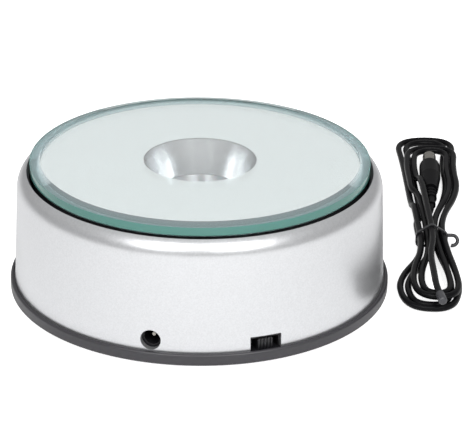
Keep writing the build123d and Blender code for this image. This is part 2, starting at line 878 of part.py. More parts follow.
def hank_nodes():
    """The cord's whole route: from the plug, out and in through two layers, to its free end."""
    back = Vector(0, -1, 0)
    axis = plug_axis()
    nodes = [(axis.origin, axis.z_dir * -1)]
    join(nodes, Vector(*plug_strand, layer_height(0)), Vector(-0.1, -1, 0).normalized())
    highest = min(lobe[4] for lobe in upper_lobes) - 3
    slot = change_room / len(hank_turns)
    turns = [hank_turn(layer, inset) for layer, inset in hank_turns]
    lanes = [turn[0][0] for turn in turns[1:]] + [Vector(waist_x, waist_y, layer_height(2))]
    join(nodes, *turns[0][0])
    for number, (turn, lane) in enumerate(zip(turns, lanes)):
        nodes += turn[1:]
        last = turn[-1][0]
        change = highest - slot * (len(turns) - 1 - number)
        nodes.append((Vector(last.X, change, last.Z), back))
        join(nodes, Vector(lane.X, change - slot, lane.Z), back)
        nodes.append((lane, back))
    join(nodes, Vector(*end_bend, layer_height(2)), back)
    join(nodes, Vector(*cord_end, layer_height(2)), Vector(end_lean, -1, 0).normalized())
    return nodes


def hank_path(nodes):
    edges = []
    for (start, heading), (end, _) in zip(nodes, nodes[1:]):
        if (end - start).cross(heading).length < 1e-6 * (end - start).length:
            edges.append(Edge.make_line(start, end))
        else:
            edges.append(Edge.make_tangent_arc(start, heading, end))
    return edges


def print_least_gap(edges):
    """Prints the hank's length and its least gap to itself, measured on points 1 mm apart."""
    places = []
    for edge in edges:
        count = max(2, round(edge.length))
        places += [(tuple(edge @ (n / count)), edge.length / count) for n in range(count)]
    run, along = 0.0, []
    for _, step in places:
        along.append(run)
        run += step
    gaps = []
    for n, (point, _) in enumerate(places):
        for m in range(n + 9, len(places)):
            if along[m] - along[n] > 4 * 2 * cord_radius:
                gaps.append(math.dist(point, places[m][0]))
    print("hank length", round(run, 1), "least gap", round(min(gaps) - 2 * cord_radius, 3), "wanted", least_gap)


def cord_hank():
    nodes = hank_nodes()
    edges = hank_path(nodes)
    print_least_gap(edges)
    start, heading = nodes[0]
    return sweep(Plane(start, z_dir=heading) * Circle(cord_radius), path=Wire(edges))


def cord_sleeve():
    """The sleeve on the cord's free end, with a rounded tip."""
    end, heading = hank_nodes()[-1]
    sleeve_body = Cylinder(sleeve_radius, sleeve_length, align=(Align.CENTER, Align.CENTER, Align.MIN))
    sleeve_body = fillet(sleeve_body.edges().group_by(Axis.Z)[-1], sleeve_radius * 0.6)
    return Plane(end, z_dir=heading) * sleeve_body


def cord_tie():
    """A band that follows the bundle's outline, with a curled tail at its right."""
    half = 1.5 * cord_pitch
    corners = [(-half, 0), (half, 0), (half, 1), (0, 2), (-half, 1)]
    rings = []
    for size in (cord_radius + tie_clearance + tie_thickness, cord_radius + tie_clearance):
        circles = [Pos(x, layer_height(layer)) * Circle(size) for x, layer in corners]
        ring = make_hull([edge for circle in circles for edge in circle.edges()])
        rings.append(Plane.XZ.offset(-waist_y - tie_width / 2) * Pos(waist_x, 0) * extrude(ring, tie_width))
    band = rings[0] - rings[1]
    side = waist_x + half + cord_radius + tie_clearance + tie_thickness / 2
    level = layer_height(1)
    bend = Vector(side + tail_curl, waist_y, level)
    run = Edge.make_line((side, waist_y, level), bend)
    curl = Edge.make_tangent_arc(bend, (1, 0, 0), bend + Vector(-0.3, -1.4, -1.6) * tail_curl)
    section = Plane((side, waist_y, level), z_dir=(1, 0, 0)) * Circle(tail_radius)
    tail = sweep(section, path=Wire([run, curl]))
    return band + tail


def dc_plug():
    """The moulded body of the plug, with a ringed neck where the cord goes in."""
    body = turned(
        Line((0, 0), (relief_radius, 0)),
        Line((relief_radius, 0), (relief_radius, plug_neck)),
        Line((relief_radius, plug_neck), (plug_neck_radius, plug_neck)),
        Line((plug_neck_radius, plug_neck), (plug_radius, plug_full)),
        Line((plug_radius, plug_full), (plug_radius, plug_front)),
        Line((plug_radius, plug_front), (0, plug_front)),
        Line((0, plug_front), (0, 0)),
    )
    body = fillet(body.edges().group_by(Axis.Z)[-1], plug_round)
    for n in range(relief_rings):
        top = plug_neck - 1.2 - n * relief_ring_step
        ring = column(relief_ring_radius, top - relief_ring_width, top)
        body += fillet(ring.edges(), 0.4)
    return plug_axis().location * body


def dc_plug_barrel():
    barrel = sleeve(barrel_radius, barrel_bore, plug_front, plug_front + barrel_length)
    return plug_axis().location * fillet(barrel.edges().group_by(Axis.Z)[-1].sort_by(SortBy.LENGTH)[-1], 0.4)


save(base_plate(), "base_plate")
save(rubber_feet(), "rubber_feet")
save(housing(), "housing")
save(glass(), "mirror_glass")
save(silvering(), "mirror_silvering")
save(bonding_pads(), "bonding_pads")
save(platter(), "platter")
save(reflector(), "reflector_cup")
save(lamp_holder(), "lamp_holder")
save(lamp_board(), "lamp_board")
save(lamp_chips(), "lamp_chips")
save(lamp_lens(), "lamp_lens")
save(thrust_washer(), "thrust_washer")
save(gear_motor(), "gearbox")
save(motor_can(), "motor_can")
save(pinion(), "drive_pinion")
for number in range(roller_count):
    save(roller(first_roller_angle + 360 * number / roller_count), "support_roller_" + str(number + 1))
save(roller_pins(), "roller_pins")
save(battery_box(), "battery_box")
save(battery_door(), "battery_door")
save(battery_contacts(), "battery_contacts")
save(jack_body(), "power_jack")
save(jack_pin(), "jack_pin")
save(jack_lugs(), "jack_lugs")
save(switch_body(), "switch_body")
save(switch_knob(), "switch_knob")
save(control_board(), "control_board")
save(board_parts(), "board_parts")
save(lamp_lead(), "lamp_lead")
save(motor_lead(), "motor_lead")
save(battery_lead(), "battery_lead")
save(switch_lead(), "switch_lead")
save(housing_screws(), "housing_screws")
save(inner_screws(), "inner_screws")
save(cord_hank(), "cord_hank")
save(cord_tie(), "cord_tie")
save(cord_sleeve(), "cord_sleeve")
save(dc_plug(), "dc_plug")
save(dc_plug_barrel(), "dc_plug_barrel")
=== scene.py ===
import math

import bpy
from mathutils import Euler, Matrix, Vector


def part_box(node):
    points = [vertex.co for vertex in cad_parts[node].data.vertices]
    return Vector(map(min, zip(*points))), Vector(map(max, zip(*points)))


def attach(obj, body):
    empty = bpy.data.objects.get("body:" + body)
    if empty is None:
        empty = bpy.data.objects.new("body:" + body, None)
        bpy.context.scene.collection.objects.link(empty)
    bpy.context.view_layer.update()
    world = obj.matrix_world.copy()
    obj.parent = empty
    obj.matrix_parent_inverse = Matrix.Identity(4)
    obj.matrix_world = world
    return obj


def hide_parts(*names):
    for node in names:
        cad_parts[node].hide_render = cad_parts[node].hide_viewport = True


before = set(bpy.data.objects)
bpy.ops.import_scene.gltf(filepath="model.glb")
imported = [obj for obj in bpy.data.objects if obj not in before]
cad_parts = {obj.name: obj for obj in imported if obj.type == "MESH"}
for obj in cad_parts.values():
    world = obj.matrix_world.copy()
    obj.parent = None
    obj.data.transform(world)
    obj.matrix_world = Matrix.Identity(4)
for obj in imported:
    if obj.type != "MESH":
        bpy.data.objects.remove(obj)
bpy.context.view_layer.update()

bl_info = {
    "name": "Rotating display base",
    "version": (1, 0, 0),
    "blender": (4, 5, 0),
    "location": "View3D > Sidebar > Display Base",
    "description": "Finishes, cord, springs and studio for a rotating mirror display base",
    "category": "Object",
}

MM = 0.001

# Sizes in millimetres, the same as the solids have.
GLASS_RADIUS = 62.0
BEVEL_WIDTH = 3.8
CONTACT_WIDTH = 8.0
CONTACT_ROWS = 3

# How far a spring's foot stands in from the back of its contact, in millimetres.
SPRING_SEAT = 0.8

# The photograph and the camera that was fitted to it.
PHOTO_WIDTH = 470
PHOTO_HEIGHT = 436
BASE_IN_PHOTO = (199.55, 278.12)
FOCAL_PIXELS = 2251.9
SENSOR_WIDTH = 36.0
CAMERA_DISTANCE = 0.84
CAMERA_RISE = math.radians(25.57)
CAMERA_ROLL = math.radians(0.285)
AIM_HEIGHT = 0.0007
LAMP_AIM = (0, 0, 0.02)
# Name, place and width and height in metres, and share of the lamp power.
LAMPS = (
    ("left_lamp", (-0.242, -0.543, 0.535), (0.2, 0.4), 0.9),
    ("right_lamp", (0.251, -0.539, 0.535), (0.26, 0.4), 1.1),
)
FLOOR_HALF = 3.0
FLOOR_SEEN = 0.75
FLOOR_IN_GLOSS = 0.25
TENT_LOW = 0.35
TENT_HIGH = 0.6


def linear(hex_colour):
    """An sRGB hex colour as linear RGBA."""
    value = hex_colour.lstrip("#")
    parts = [int(value[i:i + 2], 16) / 255 for i in (0, 2, 4)]
    return tuple(c / 12.92 if c <= 0.04045 else ((c + 0.055) / 1.055) ** 2.4 for c in parts) + (1.0,)


def add(tree, kind, links=(), **settings):
    """Adds a node. Keys that start with i_ set an input by name, others set a property."""
    node = tree.nodes.new(kind)
    for key, value in settings.items():
        if key.startswith("i_"):
            node.inputs[key[2:].replace("_", " ")].default_value = value
        else:
            setattr(node, key, value)
    for socket, source in links:
        tree.links.new(source, node.inputs[socket])
    return node


def new_material(name, **principled):
    """A material with a Principled shader and Object coordinates."""
    material = bpy.data.materials.new(name)
    material.use_nodes = True
    tree = material.node_tree
    tree.nodes.clear()
    output = add(tree, "ShaderNodeOutputMaterial")
    shader = add(tree, "ShaderNodeBsdfPrincipled")
    for key, value in principled.items():
        shader.inputs[key.replace("_", " ")].default_value = value
    tree.links.new(shader.outputs["BSDF"], output.inputs["Surface"])
    place = add(tree, "ShaderNodeTexCoord")
    return material, tree, shader, place.outputs["Object"]


def grain(tree, shader, coords, size_mm, depth_mm, strength):
    """A fine moulded or cast texture as bump, with its size in millimetres."""
    noise = add(tree, "ShaderNodeTexNoise", [("Vector", coords)], i_Scale=1 / (size_mm * MM), i_Detail=2.0)
    bump = add(
        tree, "ShaderNodeBump", [("Height", noise.outputs["Fac"])],
        i_Strength=strength, i_Distance=depth_mm * MM,
    )
    tree.links.new(bump.outputs["Normal"], shader.inputs["Normal"])


def blend(tree, shader, amount, dark, light):
    """A base colour between two linear colours, by a pattern's value."""
    mix = add(tree, "ShaderNodeMix", [("Factor", amount)], data_type="RGBA")
    mix.inputs[6].default_value = dark
    mix.inputs[7].default_value = light
    tree.links.new(mix.outputs[2], shader.inputs["Base Color"])


def vary(tree, shader, coords, size_mm, dark, light):
    """A slow change of colour over the surface between two sRGB hex colours."""
    noise = add(tree, "ShaderNodeTexNoise", [("Vector", coords)], i_Scale=1 / (size_mm * MM), i_Detail=3.0)
    blend(tree, shader, noise.outputs["Fac"], linear(dark), linear(light))


def uneven(tree, shader, coords, size_mm, low, high):
    """Roughness that wanders between two values, as handling and polishing leave it."""
    noise = add(tree, "ShaderNodeTexNoise", [("Vector", coords)], i_Scale=1 / (size_mm * MM), i_Detail=4.0)
    span = add(tree, "ShaderNodeMapRange", [("Value", noise.outputs["Fac"])], i_To_Min=low, i_To_Max=high)
    tree.links.new(span.outputs["Result"], shader.inputs["Roughness"])


def silver_painted_abs(colour):
    # Metallic paint over ABS: fine aluminium flakes that glint one by one in a soft silver.
    material, tree, shader, coords = new_material("silver_painted_abs", Metallic=0.85)
    # The real flakes are about 0.05 mm, drawn at 0.45 mm so that they show.
    flakes = add(tree, "ShaderNodeTexVoronoi", [("Vector", coords)], i_Scale=1 / (0.45 * MM))
    tint = add(tree, "ShaderNodeMapRange", [("Value", flakes.outputs["Color"])])
    darker = tuple(c * 0.93 for c in colour[:3]) + (1.0,)
    lighter = tuple(min(1.0, c * 1.05) for c in colour[:3]) + (1.0,)
    blend(tree, shader, tint.outputs["Result"], darker, lighter)
    rough = add(
        tree, "ShaderNodeMapRange", [("Value", flakes.outputs["Color"])], i_To_Min=0.3, i_To_Max=0.4
    )
    tree.links.new(rough.outputs["Result"], shader.inputs["Roughness"])
    bump = add(
        tree, "ShaderNodeBump", [("Height", flakes.outputs["Distance"])],
        i_Strength=0.04, i_Distance=0.01 * MM,
    )
    tree.links.new(bump.outputs["Normal"], shader.inputs["Normal"])
    return material


def black_moulded_abs(colour):
    # Injection-moulded ABS with a fine spark-eroded grain: satin black with a grey sheen on its edges.
    material, tree, shader, coords = new_material("black_moulded_abs", Base_Color=colour)
    grain(tree, shader, coords, 0.5, 0.03, 0.35)
    uneven(tree, shader, coords, 9.0, 0.36, 0.5)
    return material


def natural_rubber():
    # Soft moulded rubber: dull, dark grey, with no clear highlight.
    material, tree, shader, coords = new_material("black_rubber", Roughness=0.78)
    vary(tree, shader, coords, 4.0, "#161617", "#232324")
    grain(tree, shader, coords, 0.3, 0.02, 0.4)
    return material


def float_glass():
    # Float glass with a ground bevel: clear on top, blue-grey on the bevel, sea green through its edge.
    material, tree, shader, coords = new_material("bevelled_float_glass", Roughness=0.0, IOR=1.52)
    split = add(tree, "ShaderNodeSeparateXYZ", [("Vector", coords)])
    flat = add(tree, "ShaderNodeCombineXYZ", [("X", split.outputs["X"]), ("Y", split.outputs["Y"])])
    radius = add(tree, "ShaderNodeVectorMath", [(0, flat.outputs["Vector"])], operation="LENGTH")
    reach = add(
        tree, "ShaderNodeMapRange", [("Value", radius.outputs["Value"])],
        i_From_Min=(GLASS_RADIUS - BEVEL_WIDTH - 0.3) * MM, i_From_Max=(GLASS_RADIUS + 0.1) * MM,
    )
    # From the clear top through the bevel to the edge.
    tint = add(tree, "ShaderNodeValToRGB", [("Fac", reach.outputs["Result"])])
    stops = tint.color_ramp.elements
    stops[0].position, stops[0].color = 0.05, linear("#FEFFFF")
    stops[1].position, stops[1].color = 0.97, linear("#528F85")
    stops.new(0.12).color = linear("#CDDEE2")
    stops.new(0.9).color = linear("#B6D3D4")
    tree.links.new(tint.outputs["Color"], shader.inputs["Base Color"])
    # The ground bevel and edge scatter light, so they show their green also over the dark gap.
    clear = add(tree, "ShaderNodeValToRGB", [("Fac", reach.outputs["Result"])])
    steps = clear.color_ramp.elements
    steps[0].position, steps[0].color = 0.05, (1, 1, 1, 1)
    steps[1].position, steps[1].color = 0.97, (0.3, 0.3, 0.3, 1)
    steps.new(0.08).color = (0.7, 0.7, 0.7, 1)
    steps.new(0.92).color = (0.7, 0.7, 0.7, 1)
    tree.links.new(clear.outputs["Color"], shader.inputs["Transmission Weight"])
    return material


def mirror_silver():
    # Silver deposited on the back of the glass: a bright, faintly cool mirror.
    material, tree, shader, coords = new_material("deposited_silver", Metallic=1.0, Roughness=0.015)
    vary(tree, shader, coords, 30.0, "#E9F1F1", "#ECF4F4")
    return material


def plated_reflector():
    # Vacuum-plated polycarbonate: a satin silver cup that shows bright upright bands.
    material, tree, shader, coords = new_material("vacuum_plated_reflector", Metallic=1.0, Roughness=0.24)
    vary(tree, shader, coords, 5.0, "#C6C9CB", "#D4D7D8")
    grain(tree, shader, coords, 3.0, 0.05, 0.1)
    return material


def foam_pad():
    # Closed-cell foam: matt white with small pores.
    material, tree, shader, coords = new_material("closed_cell_foam", Roughness=0.95)
    vary(tree, shader, coords, 0.8, "#D8D8D4", "#EDEDEA")
    grain(tree, shader, coords, 0.6, 0.1, 0.6)
    return material


def white_moulded_abs():
    # Glossy white ABS with faint flow marks.
    material, tree, shader, coords = new_material("white_moulded_abs", Roughness=0.3)
    vary(tree, shader, coords, 18.0, "#E4E4E1", "#EFEFEC")
    grain(tree, shader, coords, 1.2, 0.02, 0.15)
    return material


def black_glossy_abs():
    # Polished black ABS of the turntable: deep black with a soft sheen.
    material, tree, shader, coords = new_material("polished_black_abs", Roughness=0.3)
    vary(tree, shader, coords, 12.0, "#19191B", "#222225")
    grain(tree, shader, coords, 0.8, 0.02, 0.2)
    return material


def solder_masked_board():
    # Glass-fibre board under green solder mask: satin green with a faint weave.
    material, tree, shader, coords = new_material("green_circuit_board", Roughness=0.32)
    wave = add(
        tree, "ShaderNodeTexWave", [("Vector", coords)], i_Scale=1 / (1.4 * MM), i_Distortion=1.0
    )
    blend(tree, shader, wave.outputs["Fac"], linear("#1D5A36"), linear("#246B41"))
    return material


def lamp_phosphor():
    # Silicone with yellow phosphor on each lamp chip: matt, warm yellow.
    material, tree, shader, coords = new_material("yellow_phosphor", Roughness=0.55)
    vary(tree, shader, coords, 1.0, "#E3C64A", "#EED768")
    return material


def frosted_lens():
    # Opal polycarbonate: milky grey-white that glows softly where light falls through it.
    material, tree, shader, coords = new_material(
        "frosted_polycarbonate", Roughness=0.28, Subsurface_Weight=0.25, Subsurface_Scale=2 * MM
    )
    vary(tree, shader, coords, 6.0, "#A6ABAF", "#BABFC3")
    grain(tree, shader, coords, 0.7, 0.04, 0.35)
    return material


def nickel_plate():
    # Nickel plate on brass: a warm grey metal with faint drawing marks.
    material, tree, shader, coords = new_material("bright_nickel_plate", Metallic=1.0)
    vary(tree, shader, coords, 2.5, "#8E8A83", "#A6A29A")
    uneven(tree, shader, coords, 1.5, 0.16, 0.3)
    return material


def zinc_plate():
    # Zinc-plated steel: blue-grey and a little uneven.
    material, tree, shader, coords = new_material("zinc_plated_steel", Metallic=1.0)
    vary(tree, shader, coords, 2.0, "#9EA3A8", "#BCC1C5")
    uneven(tree, shader, coords, 1.2, 0.28, 0.45)
    return material


def black_glass_filled_nylon():
    # Glass-filled nylon of the switch and the jack: near black, with a mottled satin skin.
    material, tree, shader, coords = new_material("glass_filled_nylon", Roughness=0.4)
    vary(tree, shader, coords, 1.6, "#141416", "#202023")
    grain(tree, shader, coords, 0.35, 0.03, 0.4)
    return material


def lead_insulation():
    # PVC insulation on the leads and the cord's end sleeve: smooth dark grey.
    material, tree, shader, coords = new_material("grey_lead_insulation", Roughness=0.4)
    vary(tree, shader, coords, 6.0, "#323235", "#424246")
    grain(tree, shader, coords, 0.9, 0.02, 0.2)
    return material


def cord_sheath(colour, gloss):
    # Flexible PVC sheath: near black, with a long soft highlight and a slightly wavy skin.
    material, tree, shader, coords = new_material(
        "flexible_pvc_sheath", Base_Color=colour, Specular_IOR_Level=0.1
    )
    grain(tree, shader, coords, 2.2, 0.06, 0.3)
    uneven(tree, shader, coords, 7.0, gloss - 0.05, gloss + 0.08)
    return material


def moulded_plug_pvc(colour):
    # Moulded PVC of the plug: the sheath's black with a finer, duller grain.
    material, tree, shader, coords = new_material(
        "moulded_plug_pvc", Base_Color=colour, Roughness=0.46, Specular_IOR_Level=0.1
    )
    grain(tree, shader, coords, 0.5, 0.03, 0.35)
    return material


def tie_film():
    # Plastic film round the tie's wire: black with fine cross wrinkles.
    material, tree, shader, coords = new_material("wrinkled_tie_film", Roughness=0.36)
    vary(tree, shader, coords, 1.2, "#17171A", "#2A2A2E")
    grain(tree, shader, coords, 0.7, 0.08, 0.5)
    return material


# Which finish each CAD part has, apart from the cord, which its own operator makes.
PART_FINISHES = {
    "housing": "silver",
    "base_plate": "abs",
    "battery_door": "abs",
    "battery_box": "abs",
    "rubber_feet": "rubber",
    "mirror_glass": "glass",
    "mirror_silvering": "mirror",
    "bonding_pads": "foam",
    "platter": "gloss",
    "reflector_cup": "plated",
    "lamp_holder": "white",
    "lamp_board": "board",
    "lamp_chips": "phosphor",
    "lamp_lens": "lens",
    "thrust_washer": "white",
    "gearbox": "white",
    "motor_can": "zinc",
    "drive_pinion": "white",
    "support_roller_1": "rubber",
    "support_roller_2": "rubber",
    "support_roller_3": "rubber",
    "roller_pins": "zinc",
    "battery_contacts": "nickel",
    "power_jack": "nylon",
    "jack_pin": "nickel",
    "jack_lugs": "nickel",
    "switch_body": "nylon",
    "switch_knob": "nylon",
    "control_board": "board",
    "board_parts": "nylon",
    "lamp_lead": "lead",
    "motor_lead": "lead",
    "battery_lead": "lead",
    "switch_lead": "lead",
    "housing_screws": "zinc",
    "inner_screws": "zinc",
    "cord_sleeve": "lead",
    "cord_tie": "tie",
    "dc_plug": "plug",
    "dc_plug_barrel": "nickel",
    "cord_hank": "sheath",
}


def dress(node, material):
    """Gives a CAD part its finish through its own material slots."""
    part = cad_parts[node]
    if not part.material_slots:
        part.data.materials.append(material)
    for slot in part.material_slots:
        slot.material = material


# The cord's route in millimetres, with the same formula as its solid.
CORD_RADIUS = 1.25
CORD_PITCH = 2.95
TIE_THICKNESS = 0.45
TIE_CLEARANCE = 0.05
WAIST = (89.35, 31.0)
UPPER_LOBES = [(84.6, 103.5, 95.5, 135.7, 100.0, 96.0), (85.3, 104.1, 96.6, 119.5, 92.0, 88.0)]
LOWER_LOBES = [(74.1, 96.2, 83.8, -26.7, -14.0, -3.0), (79.0, 95.4, 87.2, -23.0, -14.0, -12.5)]
HANK_TURNS = [(0, 1), (0, 0), (1, 0), (1, 1)]
CHANGE_ROOM = 42.0
PLUG_STRAND = (88.8, 48.0)
PLUG_TAIL = (91.9, 60.5, 4.25)
PLUG_NOSE = (95.2, 105.0, 4.25)
END_BEND = (86.5, 0.0)
CORD_END = (86.9, -27.0)
END_LEAN = 0.1


def layer_height(layer):
    """Height of the cord's middle in a layer of the hank, which rests on its tie."""
    return TIE_THICKNESS + TIE_CLEARANCE + CORD_RADIUS + layer * CORD_PITCH


def join(stops, end, leaving):
    """Adds the two bends that lead from the last stop to a new one."""
    start, heading = stops[-1]
    gap = end - start
    spread = 1 - heading.dot(leaving)
    if spread < 1e-9:
        reach = gap.dot(gap) / (4 * gap.dot(heading))
    else:
        slope = gap.dot(heading + leaving)
        reach = (math.sqrt(slope**2 + 2 * spread * gap.dot(gap)) - slope) / (2 * spread)
    middle = (start + heading * reach + end - leaving * reach) * 0.5
    step = middle - start
    turned = step * (2 * step.dot(heading) / step.dot(step)) - heading
    stops.append((middle, turned.normalized()))
    stops.append((end, leaving))


def hank_turn(layer, inset):
    """One turn round both lobes. An inner turn keeps one pitch inside."""
    away, back = Vector((0, 1, 0)), Vector((0, -1, 0))
    over, under = Vector((-1, 0, 0)), Vector((1, 0, 0))
    z = layer_height(layer)
    lane = 1.5 * CORD_PITCH
    left, right, turn_x, turn_y, left_y, right_y = LOWER_LOBES[layer]
    stops = [(Vector((WAIST[0] - lane, WAIST[1], z)), back)]
    join(stops, Vector((left, left_y, z)), back)
    join(stops, Vector((turn_x, turn_y, z)), under)
    join(stops, Vector((right, right_y, z)), away)
    join(stops, Vector((WAIST[0] + lane, WAIST[1], z)), away)
    left, right, turn_x, turn_y, left_y, right_y = UPPER_LOBES[layer]
    join(stops, Vector((right, right_y, z)), away)
    join(stops, Vector((turn_x, turn_y, z)), over)
    join(stops, Vector((left, left_y, z)), back)
    inwards = inset * CORD_PITCH
    return [(point + Vector((-way.y, way.x, 0)) * inwards, way) for point, way in stops]


def route_points():
    """The route's corners in metres: the control points of the cord's spline."""
    back = Vector((0, -1, 0))
    tail, nose = Vector(PLUG_TAIL), Vector(PLUG_NOSE)
    stops = [(tail, (tail - nose).normalized())]
    join(stops, Vector((*PLUG_STRAND, layer_height(0))), Vector((-0.1, -1, 0)).normalized())
    highest = min(lobe[4] for lobe in UPPER_LOBES) - 3
    room = CHANGE_ROOM / len(HANK_TURNS)
    turns = [hank_turn(layer, inset) for layer, inset in HANK_TURNS]
    lanes = [turn[0][0] for turn in turns[1:]] + [Vector((*WAIST, layer_height(2)))]
    join(stops, *turns[0][0])
    for number, (turn, lane) in enumerate(zip(turns, lanes)):
        stops += turn[1:]
        last = turn[-1][0]
        change = highest - room * (len(turns) - 1 - number)
        stops.append((Vector((last.x, change, last.z)), back))
        join(stops, Vector((lane.x, change - room, lane.z)), back)
        stops.append((lane, back))
    join(stops, Vector((*END_BEND, layer_height(2))), back)
    join(stops, Vector((*CORD_END, layer_height(2))), Vector((END_LEAN, -1, 0)).normalized())
    corners = [stops[0][0]]
    for (start, heading), (end, _) in zip(stops, stops[1:]):
        gap = end - start
        corners.append(start + heading * (gap.dot(gap) / (2 * gap.dot(heading))))
    corners.append(stops[-1][0])
    return [corner * MM for corner in corners]


class DisplayBaseFinish(bpy.types.PropertyGroup):
    housing_colour: bpy.props.FloatVectorProperty(
        name="Housing colour", description="Colour of the silver paint", subtype="COLOR", size=4,
        default=linear("#CDCED0"), min=0.0, max=1.0,
    )
    base_colour: bpy.props.FloatVectorProperty(
        name="Base colour", description="Colour of the black base", subtype="COLOR", size=4,
        default=linear("#302F33"), min=0.0, max=1.0,
    )
    silver_gap: bpy.props.FloatProperty(
        name="Silver gap", description="How far the silver lies under the glass", unit="LENGTH",
        default=0.04 * MM, min=0.0, max=0.0002,
    )


class DisplayBaseCord(bpy.types.PropertyGroup):
    diameter: bpy.props.FloatProperty(
        name="Cord diameter", description="Outside diameter of the sheath", unit="LENGTH",
        default=2 * CORD_RADIUS * MM, min=0.0015, max=0.004,
    )
    colour: bpy.props.FloatVectorProperty(
        name="Cord colour", description="Colour of the sheath", subtype="COLOR", size=4,
        default=linear("#0B0B0D"), min=0.0, max=1.0,
    )
    gloss: bpy.props.FloatProperty(
        name="Cord roughness", description="Roughness of the sheath", subtype="FACTOR",
        default=0.34, min=0.1, max=0.8,
    )


class DisplayBaseSprings(bpy.types.PropertyGroup):
    turns: bpy.props.FloatProperty(
        name="Spring turns", description="Turns of each battery spring", default=3.5, min=2.0, max=6.0,
    )
    wire: bpy.props.FloatProperty(
        name="Wire diameter", description="Diameter of the spring wire", unit="LENGTH",
        default=0.6 * MM, min=0.0003, max=0.001,
    )
    foot: bpy.props.FloatProperty(
        name="Foot radius", description="Radius of the spring at its plate", unit="LENGTH",
        default=3.4 * MM, min=0.002, max=0.005,
    )
    tip: bpy.props.FloatProperty(
        name="Tip radius", description="Radius of the spring where it meets the cell", unit="LENGTH",
        default=2.5 * MM, min=0.001, max=0.004,
    )
    length: bpy.props.FloatProperty(
        name="Free length", description="Length of each spring", unit="LENGTH",
        default=3.8 * MM, min=0.002, max=0.006,
    )


class DisplayBaseStage(bpy.types.PropertyGroup):
    lamp_power: bpy.props.FloatProperty(
        name="Lamp power", description="Power of the two soft lamps", unit="POWER", default=3.0, min=0.0,
    )
    floor_colour: bpy.props.FloatVectorProperty(
        name="Floor colour", description="Colour of the floor", subtype="COLOR", size=4,
        default=linear("#F2F2F2"), min=0.0, max=1.0,
    )


class DISPLAYBASE_OT_finishes(bpy.types.Operator):
    """Gives every solid part of the base its finish"""

    bl_idname = "displaybase.finishes"
    bl_label = "Finish the parts"

    def execute(self, context):
        own = context.scene.display_base_finish
        cord = context.scene.display_base_cord
        finishes = {
            "silver": silver_painted_abs(own.housing_colour),
            "abs": black_moulded_abs(own.base_colour),
            "rubber": natural_rubber(),
            "glass": float_glass(),
            "mirror": mirror_silver(),
            "foam": foam_pad(),
            "gloss": black_glossy_abs(),
            "plated": plated_reflector(),
            "white": white_moulded_abs(),
            "board": solder_masked_board(),
            "phosphor": lamp_phosphor(),
            "lens": frosted_lens(),
            "zinc": zinc_plate(),
            "nickel": nickel_plate(),
            "nylon": black_glass_filled_nylon(),
            "lead": lead_insulation(),
            "tie": tie_film(),
            "plug": moulded_plug_pvc(cord.colour),
            "sheath": cord_sheath(cord.colour, cord.gloss),
        }
        for node, finish in PART_FINISHES.items():
            dress(node, finishes[finish])
        return {"FINISHED"}


class DISPLAYBASE_OT_silvering(bpy.types.Operator):
    """Lays the mirror's silver a hair under the glass, so that the two faces don't coincide"""

    bl_idname = "displaybase.silvering"
    bl_label = "Silver the mirror"

    def execute(self, context):
        own = context.scene.display_base_finish
        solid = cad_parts["mirror_silvering"]
        mesh = solid.data.copy()
        low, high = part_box("mirror_silvering")
        middle = (low.z + high.z) / 2
        for vertex in mesh.vertices:
            if vertex.co.z > middle:
                vertex.co.z -= own.silver_gap
        film = bpy.data.objects.new("silver_film", mesh)
        context.scene.collection.objects.link(film)
        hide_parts("mirror_silvering")
        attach(film, "turntable")
        return {"FINISHED"}


class DISPLAYBASE_OT_cord(bpy.types.Operator):
    """Winds the cord in its tied hank, from its plug to its far end"""

    bl_idname = "displaybase.cord"
    bl_label = "Wind the cord"

    def execute(self, context):
        own = context.scene.display_base_cord
        curve = bpy.data.curves.new("cord_in_hank", "CURVE")
        curve.dimensions = "3D"
        curve.bevel_depth = own.diameter / 2
        curve.bevel_resolution = 3
        curve.use_fill_caps = True
        spline = curve.splines.new("NURBS")
        route = route_points()
        spline.points.add(len(route) - 1)
        for point, place in zip(spline.points, route):
            point.co = (*place, 1.0)
        spline.order_u = 3
        spline.use_endpoint_u = True
        spline.resolution_u = 8
        cord = bpy.data.objects.new("cord_in_hank", curve)
        context.scene.collection.objects.link(cord)
        curve.materials.append(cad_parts["cord_hank"].material_slots[0].material)
        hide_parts("cord_hank")
        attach(cord, "root")
        return {"FINISHED"}


